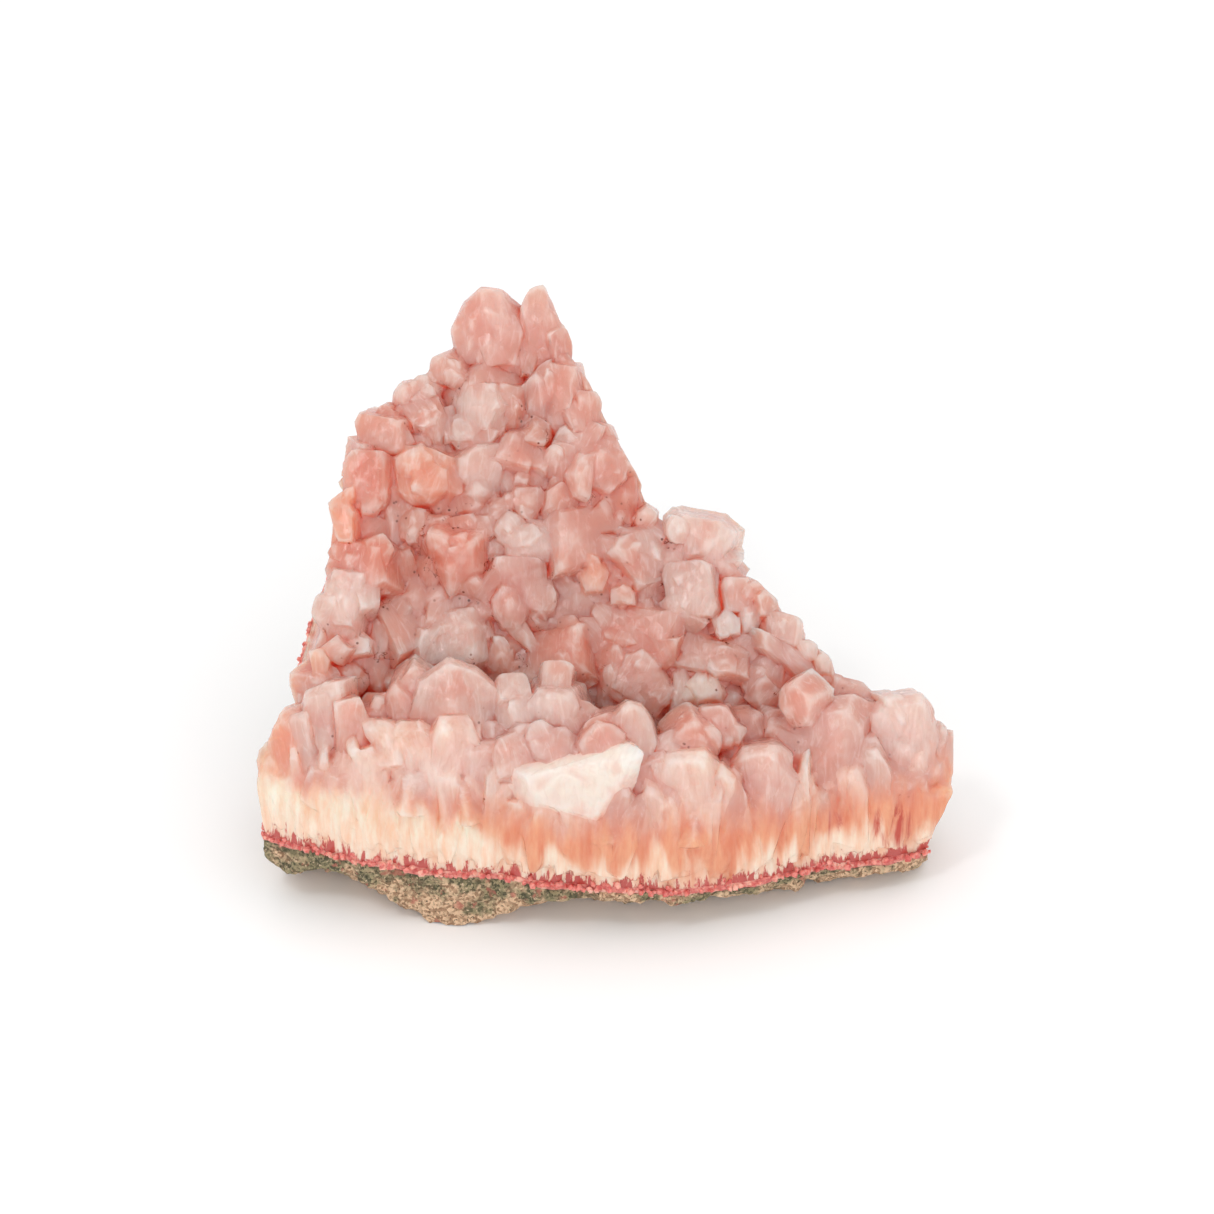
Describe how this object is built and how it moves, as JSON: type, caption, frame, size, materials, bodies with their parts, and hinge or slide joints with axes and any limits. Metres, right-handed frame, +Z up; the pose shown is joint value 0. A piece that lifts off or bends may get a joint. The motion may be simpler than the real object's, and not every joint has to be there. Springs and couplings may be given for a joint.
{
  "type": "heulandite crystal cluster",
  "caption": "Natural cluster of pink blocky zeolite crystals on a cream fibrous crust, grown over a thin red seam on green rock, with a raised front lip and a rear peak.",
  "frame": {"origin": "on the underside's main flat resting patch, 30 mm behind the frontmost point of the rock's front edge, at the middle of the width", "axes": "+X to the right along the width, +Y to the back where the wall and its peak rise, +Z up from the surface it rests on"},
  "size_m": [0.0976, 0.0691, 0.0684],
  "materials": {
    "matrix_rock": "rough, granular, green-brown weathered basalt",
    "red_seam": "granular, dark red, matt with small glints",
    "heulandite": "milky translucent pink crystals with pearly faces, orange then cream-white towards the root"
  },
  "bodies": {
    "root": {"matrix": "matrix_rock", "red_seam": "red_seam", "heulandite_crust": "heulandite"}
  },
  "joints": []
}
